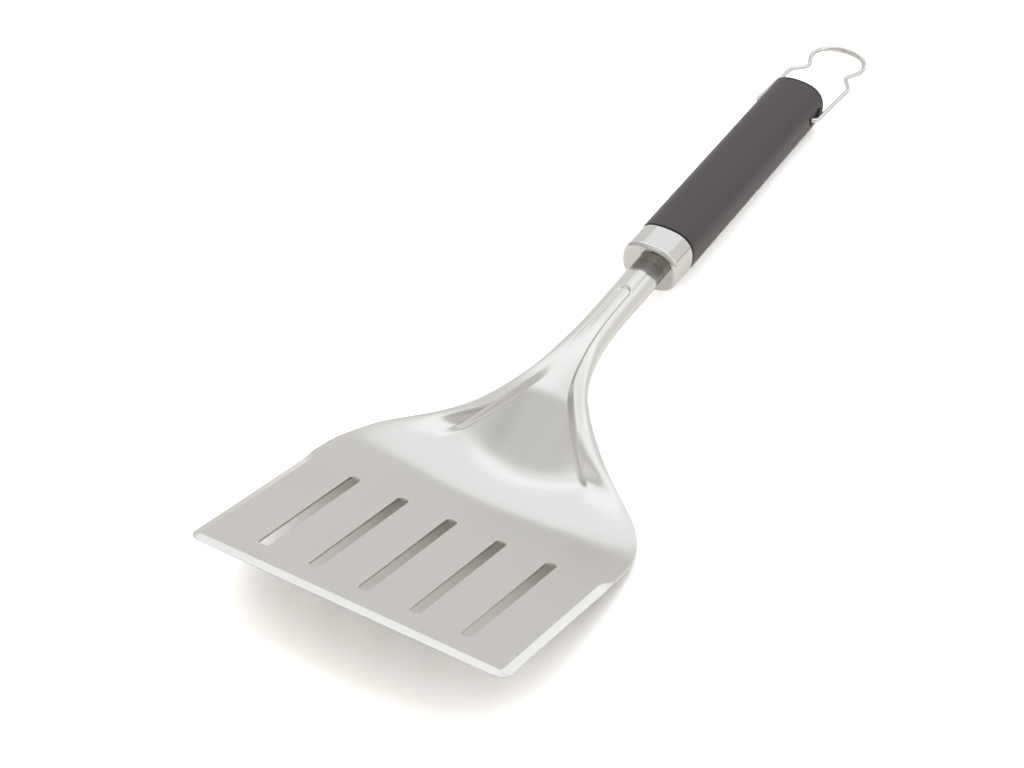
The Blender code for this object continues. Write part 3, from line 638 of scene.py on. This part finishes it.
def make_grip(soft):
    rings = edge_rings(GRIP_START, GRIP_FRONT_EDGE, -1, steps=5)
    rings += [handle_ring(y) for y in np.linspace(GRIP_START + 4, CAP_START - GAP - 3, 24)]
    rings += edge_rings(CAP_START - GAP, SEAM_EDGE, 1, steps=3)
    rings += [handle_ring(CAP_START - GAP, GRIP_WALL), handle_ring(GRIP_START, GRIP_WALL)]
    grip = new_object("soft_grip", *loft(rings), HANDLE, [soft])
    surface = handle_ring(PIVOT_Y)[:, 0].max()
    for side in (-1, 1):
        radius = RECESS_HALF_HEIGHT - 0.1
        outline = rounded_rectangle(PIVOT_Y - RECESS_HALF_HEIGHT, PIVOT_Y + RECESS_LENGTH,
                                    PIVOT_HEIGHT - RECESS_HALF_HEIGHT,
                                    PIVOT_HEIGHT + RECESS_HALF_HEIGHT, radius, steps=12)
        depths = (surface - RECESS_DEPTH, surface - 0.5, surface - 0.15, surface + 3.0)
        rings = []
        for depth, grow in zip(depths, (0.0, 0.05, 0.3, 1.6)):
            spread = outline - outline.mean(axis=0)
            spread = spread + grow * spread / np.linalg.norm(spread, axis=1)[:, None]
            spread = spread + outline.mean(axis=0)
            rings.append(np.column_stack([np.full(len(outline), side * depth), spread]))
        boolean(grip, new_object("recess", *loft(rings[::-side]), HANDLE, [soft]))
    boolean(grip, pivot_bore(PIVOT_HOLE, soft))
    weighted_normals(grip)
    return grip


def make_cap(plastic):
    rings = edge_rings(CAP_START, SEAM_EDGE, -1, steps=3)
    rings += edge_rings(BUTT, CAP_EDGE, 1, steps=12)
    cap = new_object("butt_cap", *loft(rings), HANDLE, [plastic])
    weighted_normals(cap)
    return cap


# ---------------------------------------------------------------- hanging loop

def arc(centre, radius, start, end, count):
    angles = np.radians(np.linspace(start, end, count))
    return [(centre[0] + radius * math.cos(a), centre[1] + radius * math.sin(a)) for a in angles]


def rounded(corner, before, after, radius, count=12):
    corner, before, after = Vector(corner), Vector(before), Vector(after)
    start = corner + (before - corner).normalized() * radius
    end = corner + (after - corner).normalized() * radius
    bend = []
    for i in range(count + 1):
        t = i / count
        bend.append(tuple((1 - t) ** 2 * start + 2 * t * (1 - t) * corner + t * t * end))
    return bend


def make_loop(wire):
    leg_top = (LEG_HALF_WIDTH, LEG_LENGTH)
    head = arc((0, HEAD_CENTRE), HEAD_RADIUS, -14, 90, 40)
    right = [(PIN_END, 0.0)]
    right += arc((LEG_HALF_WIDTH - LEG_BEND, LEG_BEND), LEG_BEND, -90, 0, 13)
    right += rounded(leg_top, (LEG_HALF_WIDTH, 0.0), PINCH, LEG_CORNER)
    right += rounded(PINCH, leg_top, head[0], PINCH_CORNER)
    right += head
    path = np.array(right + [(-x, y) for x, y in reversed(right[:-1])])
    along = np.gradient(path, axis=0)
    along /= np.linalg.norm(along, axis=1)[:, None]
    side = np.column_stack([along[:, 1], -along[:, 0]])
    angles = np.radians(np.arange(0, 360, 15))
    rings = []

    def ring(centre, across, radius):
        return np.column_stack([centre[0] + across[0] * radius * np.cos(angles),
                                centre[1] + across[1] * radius * np.cos(angles),
                                radius * np.sin(angles)])

    rings.append(ring(path[0], side[0], WIRE_RADIUS - WIRE_END))
    first = path[0] + along[0] * WIRE_END
    rings.append(ring(first, side[0], WIRE_RADIUS))
    rings += [ring(p, s, WIRE_RADIUS) for p, s in zip(path[1:-1], side[1:-1])]
    rings.append(ring(path[-1] - along[-1] * WIRE_END, side[-1], WIRE_RADIUS))
    rings.append(ring(path[-1], side[-1], WIRE_RADIUS - WIRE_END))
    loop = new_object("wire_loop", *loft(rings), LOOP, [wire])
    weighted_normals(loop)
    return loop


# ---------------------------------------------------------------- material helpers

class Graph:
    """Short calls for building a node tree. The frame is the piece's own, where its grain runs."""

    def __init__(self, tree, piece=None):
        self.tree = tree
        self.piece = piece or Matrix.Identity(4)

    def node(self, kind, **settings):
        made = self.tree.nodes.new(kind)
        for key, value in settings.items():
            setattr(made, key, value)
        return made

    def feed(self, socket, value):
        if isinstance(value, bpy.types.NodeSocket):
            self.tree.links.new(value, socket)
        else:
            socket.default_value = value

    def math(self, operation, *values, clamp=False):
        made = self.node("ShaderNodeMath", operation=operation, use_clamp=clamp)
        for socket, value in zip(made.inputs, values):
            self.feed(socket, value)
        return made.outputs[0]

    def ease(self, value, low, high, start=0.0, end=1.0):
        """A smooth step from start to end as value goes from low to high."""
        made = self.node("ShaderNodeMapRange", interpolation_type="SMOOTHSTEP", clamp=True)
        for socket, given in zip(made.inputs, (value, low, high, start, end)):
            self.feed(socket, given)
        return made.outputs[0]

    def spread(self, value, low, high):
        """A 0 to 1 value spread between low and high."""
        made = self.node("ShaderNodeMapRange", clamp=True)
        for socket, given in zip(made.inputs, (value, 0.0, 1.0, low, high)):
            self.feed(socket, given)
        return made.outputs[0]

    def place(self, scale):
        """Coordinates in the piece's frame, scaled along each axis."""
        local = self.node("ShaderNodeMapping", vector_type="TEXTURE")
        self.feed(local.inputs["Vector"], self.node("ShaderNodeTexCoord").outputs["Object"])
        local.inputs["Location"].default_value = self.piece.translation
        local.inputs["Rotation"].default_value = self.piece.to_euler()
        mapping = self.node("ShaderNodeMapping")
        self.feed(mapping.inputs["Vector"], local.outputs[0])
        mapping.inputs["Scale"].default_value = scale
        return mapping.outputs[0]

    def noise(self, scale, detail=3.0, roughness=0.5):
        """Noise with a feature size set by the scale along each axis, per metre."""
        made = self.node("ShaderNodeTexNoise")
        self.feed(made.inputs["Vector"], self.place(scale))
        made.inputs["Scale"].default_value = 1.0
        made.inputs["Detail"].default_value = detail
        made.inputs["Roughness"].default_value = roughness
        return made.outputs["Fac"]

    def mix(self, fac, a, b):
        made = self.node("ShaderNodeMix", data_type="RGBA")
        self.feed(made.inputs[0], fac)
        self.feed(made.inputs[6], a)
        self.feed(made.inputs[7], b)
        return made.outputs[2]

    def bump(self, height, distance, strength=1.0, under=None):
        made = self.node("ShaderNodeBump")
        made.inputs["Strength"].default_value = strength
        made.inputs["Distance"].default_value = distance
        self.feed(made.inputs["Height"], height)
        if under is not None:
            self.feed(made.inputs["Normal"], under)
        return made.outputs[0]


def new_material(name, metallic, roughness, piece=None):
    material = bpy.data.materials.new(name)
    material.use_nodes = True
    shader = material.node_tree.nodes["Principled BSDF"]
    shader.inputs["Metallic"].default_value = metallic
    shader.inputs["Roughness"].default_value = roughness
    return material, Graph(material.node_tree, piece), shader.inputs


def grey(value, warm=0.0):
    """A neutral colour, warmed by lowering its blue."""
    return (value * (1 + 0.5 * warm), value, value * (1 - warm), 1.0)


def metal(name, piece, level, rough, grain, grain_depth, warm=0.02):
    """Worked metal: a directional grain, uneven roughness and soft patches of tone."""
    material, g, inputs = new_material(name, 1.0, rough, piece)
    fine = g.noise(grain, detail=4.0, roughness=0.6)
    broad = g.noise((18.0, 18.0, 18.0), detail=2.0)
    tone = g.math("ADD", g.spread(fine, -0.03, 0.03), g.spread(broad, -0.02, 0.02))
    tone = g.math("ADD", tone, 0.5)
    g.feed(inputs["Base Color"], g.mix(tone, grey(level * 0.9, warm), grey(level * 1.1, warm)))
    uneven = g.math("ADD", g.spread(fine, -0.05, 0.05), g.spread(broad, -0.03, 0.03))
    g.feed(inputs["Roughness"], g.math("ADD", uneven, rough))
    g.feed(inputs["Normal"], g.bump(fine, grain_depth))
    return material


def soft_plastic(name, piece, colour, rough):
    """Matt soft-touch surface: fine moulded grain, faint wear and dust in its tone."""
    material, g, inputs = new_material(name, 0.0, rough, piece)
    fine = g.noise((2600.0, 2600.0, 2600.0), detail=2.0)
    broad = g.noise((26.0, 14.0, 26.0), detail=3.0)
    dark = tuple(c * 0.88 for c in colour) + (1.0,)
    light = tuple(c * 1.12 for c in colour) + (1.0,)
    tone = g.math("ADD", g.spread(fine, 0.2, 0.5), g.spread(broad, 0.1, 0.4))
    g.feed(inputs["Base Color"], g.mix(tone, dark, light))
    g.feed(inputs["Roughness"], g.math("ADD", g.spread(broad, -0.05, 0.05), rough))
    g.feed(inputs["Normal"], g.bump(fine, 0.00004, 0.6))
    inputs["Specular IOR Level"].default_value = 0.36
    return material


# ---------------------------------------------------------------- studio

CAMERA_SIDE, REAR = 0.93, 1.55   # levels in front of the tool and behind it
FRONT_Y, REAR_Y = -0.04, 0.10    # where one turns into the other, as a direction's Y
COOL_FROM, COOL_TO = 1.1, 1.5    # levels between which the light turns cool
# azimuth from and to (0 is the rear, positive to the right), elevation from and to, softness, gain
CARDS = {
    "low_left_rear": (-42.0, -3.0, -30.0, 26.0, 6.0, -0.50),
    "low_rear": (-1.0, 20.0, -30.0, 30.0, 5.0, 0.25),
    "right_rear": (22.0, 60.0, -30.0, 50.0, 5.0, -0.32),
    "right": (62.0, 98.0, -30.0, 60.0, 6.0, 0.25),
    "right_high": (62.0, 100.0, 50.0, 76.0, 6.0, 0.40),
    "left": (-112.0, -82.0, -30.0, 56.0, 6.0, -0.30),
    "behind_left": (-173.0, -143.0, 41.0, 82.0, 6.0, 0.42),
    "low_left": (-82.0, -43.0, -30.0, 34.0, 5.0, -0.38),
    "high_rear": (-75.0, 50.0, 46.0, 68.0, 2.5, 0.28),
}
NEUTRAL, COOL = (1.0, 1.0, 1.0, 1.0), (0.96, 1.0, 1.05, 1.0)


def studio_world():
    """A soft surround: bright behind, grey in front, with cards that lighten or darken it."""
    world = bpy.data.worlds.new("studio")
    bpy.context.scene.world = world
    world.use_nodes = True
    world.node_tree.nodes.clear()
    g = Graph(world.node_tree)
    split = g.node("ShaderNodeSeparateXYZ")
    g.feed(split.inputs[0], g.node("ShaderNodeTexCoord").outputs["Generated"])
    x, y, z = split.outputs
    around = g.math("MULTIPLY", g.math("ARCTAN2", x, y), 180.0 / math.pi)
    height = g.math("MULTIPLY", g.math("ARCSINE", z), 180.0 / math.pi)

    level = g.ease(y, FRONT_Y, REAR_Y, CAMERA_SIDE, REAR)
    for left, right, low, high, soft, gain in CARDS.values():
        mask = g.math("MULTIPLY", g.ease(around, left - soft, left + soft),
                      g.ease(around, right - soft, right + soft, 1.0, 0.0))
        mask = g.math("MULTIPLY", mask, g.ease(height, low - soft, low + soft))
        mask = g.math("MULTIPLY", mask, g.ease(height, high - soft, high + soft, 1.0, 0.0))
        level = g.math("ADD", level, g.math("MULTIPLY", mask, gain))
    background = g.node("ShaderNodeBackground")
    g.feed(background.inputs["Color"], g.mix(g.ease(level, COOL_FROM, COOL_TO), NEUTRAL, COOL))
    g.feed(background.inputs["Strength"], level)
    output = g.node("ShaderNodeOutputWorld")
    g.feed(output.inputs["Surface"], background.outputs[0])


FLOOR_SIDE, FLOOR_Z = 6000.0, -0.1     # half its side and its height, in millimetres
FLOOR_LIT = 0.70                       # painted light: the level at which it lights the tool, lower than it looks
FLOOR_NEAR, FLOOR_FAR = 1.15, 0.74     # painted reflection: as the steel sees it, brighter near the tool and dimmer far from it
FLOOR_NEAR_END, FLOOR_FAR_START = 0.16, 0.32   # metres from the tool's middle
FLOOR_SHADE, FLOOR_OPEN = 0.88, 1.6    # as the camera sees it, painted shade under the blade and the level in the open
SHADE_FRONT, SHADE_REAR = -0.10, 0.04  # along Y, where the painted shade gives way to the open level
SHADE_REACH = 0.25                     # metres that the floor looks up for something over it
# ambient occlusion values between which the painted shade turns to the open level
SHADE_CLOSED, SHADE_OPEN = 0.42, 0.78
FLOOR_TINT = (1.03, 1.0, 0.955, 1.0)


def make_floor():
    """A pale floor that washes out to white away from the shadow. Its colour carries painted shade
    under the blade and where something is over it, and a painted reflection that is brighter near
    the tool for the rays the steel reflects. Its two halves add up, because one diffuse colour stops
    at full white."""
    material, g, _ = new_material("pale floor", 0.0, 0.9)
    tree = material.node_tree
    tree.nodes.remove(tree.nodes["Principled BSDF"])
    broad = g.noise((3.0, 3.0, 3.0), detail=2.0)
    path = g.node("ShaderNodeLightPath")
    place = g.node("ShaderNodeNewGeometry").outputs["Position"]
    split = g.node("ShaderNodeSeparateXYZ")
    g.feed(split.inputs[0], place)
    away = g.node("ShaderNodeVectorMath", operation="LENGTH")
    g.feed(away.inputs[0], place)
    shade = g.node("ShaderNodeAmbientOcclusion", samples=8)
    shade.inputs["Distance"].default_value = SHADE_REACH
    # painted shade: as the camera sees it, the floor's colour is darker towards the front under the blade and
    # where ambient occlusion finds something over it
    base = g.ease(split.outputs["Y"], SHADE_FRONT, SHADE_REAR, FLOOR_SHADE / 2, FLOOR_OPEN / 2)
    seen = g.ease(shade.outputs["AO"], SHADE_CLOSED, SHADE_OPEN, base, FLOOR_OPEN / 2)
    # painted reflection: in the steel's reflections the floor's colour is brighter near the tool, and the light it
    # throws on the tool has a painted level of its own
    mirrored = g.ease(away.outputs["Value"], FLOOR_NEAR_END, FLOOR_FAR_START,
                      FLOOR_NEAR / 2, FLOOR_FAR / 2)
    level = g.ease(path.outputs["Is Glossy Ray"], 0.0, 1.0, FLOOR_LIT / 2, mirrored)
    level = g.ease(path.outputs["Is Camera Ray"], 0.0, 1.0, level, seen)
    level = g.math("MULTIPLY", level, g.spread(broad, 0.99, 1.01))
    colour = g.mix(level, (0.0, 0.0, 0.0, 1.0), FLOOR_TINT)
    both = g.node("ShaderNodeAddShader")
    for socket in both.inputs:
        half = g.node("ShaderNodeBsdfDiffuse")
        g.feed(half.inputs["Color"], colour)
        g.feed(socket, half.outputs[0])
    g.feed(tree.nodes["Material Output"].inputs["Surface"], both.outputs[0])
    side, z = FLOOR_SIDE, FLOOR_Z
    corners = [(-side, -side, z), (side, -side, z), (side, side, z), (-side, side, z)]
    new_object("floor", corners, [(0, 1, 2, 3)], Matrix.Identity(4), [material])


AZIMUTH, ELEVATION, ROLL = 31.04, 45.36, -0.524
DISTANCE = 1.42422
AIM_FROM_CENTRE = (-0.02965, -0.04934, -0.02665)
LENS = 110.77


def make_camera():
    low, high = (Vector(corner) for corner in cad_bounds)
    aim = (low + high) / 2 + Vector(AIM_FROM_CENTRE)
    azimuth, elevation = math.radians(AZIMUTH), math.radians(ELEVATION)
    turn = (Matrix.Rotation(azimuth, 4, "Z") @ Matrix.Rotation(math.pi / 2 - elevation, 4, "X")
            @ Matrix.Rotation(math.radians(ROLL), 4, "Z"))
    data = bpy.data.cameras.new("camera")
    data.lens = LENS
    data.sensor_width = 36.0
    data.clip_end = 50.0
    camera = bpy.data.objects.new("camera", data)
    bpy.context.scene.collection.objects.link(camera)
    camera.matrix_world = Matrix.Translation(aim) @ turn @ Matrix.Translation((0, 0, DISTANCE))
    bpy.context.scene.camera = camera


# ---------------------------------------------------------------- assembly

WARM = 0.067                   # how much the steel lowers blue
# the second colour is the nylon core's own black, and also painted shade where its rim shows in the gap between
# ferrule and grip
CHARCOAL, BLACK_NYLON_AND_GAP_SHADE = (0.0420, 0.0328, 0.0318), (0.012, 0.012, 0.012)


def build():
    steel = metal("brushed steel sheet", BLADE, 0.50, 0.24, (800.0, 250.0, 800.0), 0.000004, WARM)
    front_grind = metal("ground front edge", BLADE, 0.50, 0.22, (2600.0, 120.0, 2600.0),
                        0.000006, WARM)
    side_grind = metal("ground side edge", BLADE, 0.50, 0.22, (120.0, 2600.0, 2600.0),
                       0.000006, WARM)
    cut_steel = metal("cut edge", BLADE, 0.46, 0.28, (300.0, 300.0, 2000.0), 0.000001, WARM)
    slot_steel = metal("slot edge", BLADE, 0.46, 0.26, (200.0, 200.0, 900.0), 0.0000005, WARM)
    tang_steel = metal("grey tang steel", HANDLE, 0.29, 0.28, (1400.0, 200.0, 1400.0),
                       0.0000015, 0.075)
    pin_steel = metal("pin steel", HANDLE, 0.45, 0.35, (1500.0, 1500.0, 200.0), 0.000004)
    chrome = metal("polished ferrule", HANDLE, 0.47, 0.07, (400.0, 60.0, 400.0), 0.0000006, 0.06)
    wire = metal("bright wire", LOOP, 0.50, 0.06, (700.0, 90.0, 700.0), 0.000001, 0.06)
    soft = soft_plastic("soft grip", HANDLE, CHARCOAL, 0.46)
    cap_plastic = soft_plastic("butt cap plastic", HANDLE, CHARCOAL, 0.44)
    # black nylon, also painted shade for the gap behind the ferrule
    nylon = soft_plastic("black nylon", HANDLE, BLACK_NYLON_AND_GAP_SHADE, 0.45)

    blade = make_blade(steel, front_grind, side_grind, cut_steel, slot_steel)
    pieces = (
        (blade, "tool", "blade", "blade_steel"),
        (make_tang(tang_steel), "tool", "tang", "tang_steel"),
        (make_ferrule(chrome), "tool", "ferrule", "ferrule_polish"),
        (make_core(nylon), "tool", "handle_core", "core_nylon"),
        (make_grip(soft), "tool", "grip", "grip_soft"),
        (make_cap(cap_plastic), "tool", "end_cap", "cap_plastic"),
        (make_loop(wire), "loop", "hanging_loop", "loop_wire"),
    )
    for obj, body, node, slot_name in pieces:
        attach(obj, body)
        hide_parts(node)
    for node in ("tang_pin_front", "tang_pin_rear"):
        pin = frame["nodes"][node]
        pin.data.materials.clear()
        pin.data.materials.append(pin_steel)
    make_floor()
    studio_world()
    make_camera()
    bpy.context.scene.view_settings.view_transform = "Standard"


build()
